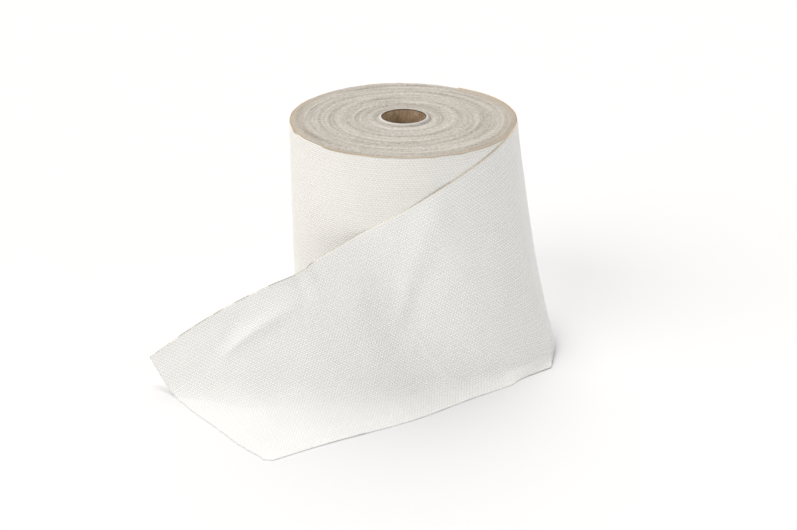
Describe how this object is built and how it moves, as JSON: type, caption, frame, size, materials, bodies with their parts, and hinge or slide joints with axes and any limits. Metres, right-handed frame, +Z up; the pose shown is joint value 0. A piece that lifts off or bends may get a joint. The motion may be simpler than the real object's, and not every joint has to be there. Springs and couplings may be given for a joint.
{
  "type": "paper towel roll",
  "caption": "Roll of embossed paper towel wound on a cardboard core, standing on its end with its loose web pulled round and laid out in front.",
  "frame": {"origin": "on the core's axis, at the floor that the roll stands on", "axes": "+Z up along the core, -Y towards the front where the loose web lies, +X to the right seen from the front"},
  "size_m": [0.34, 0.3875, 0.1766],
  "materials": {
    "paper": "matt, embossed",
    "cardboard": "matt, raw"
  },
  "bodies": {
    "root": {"paper_web": "paper", "core_tube": "cardboard"}
  },
  "joints": []
}
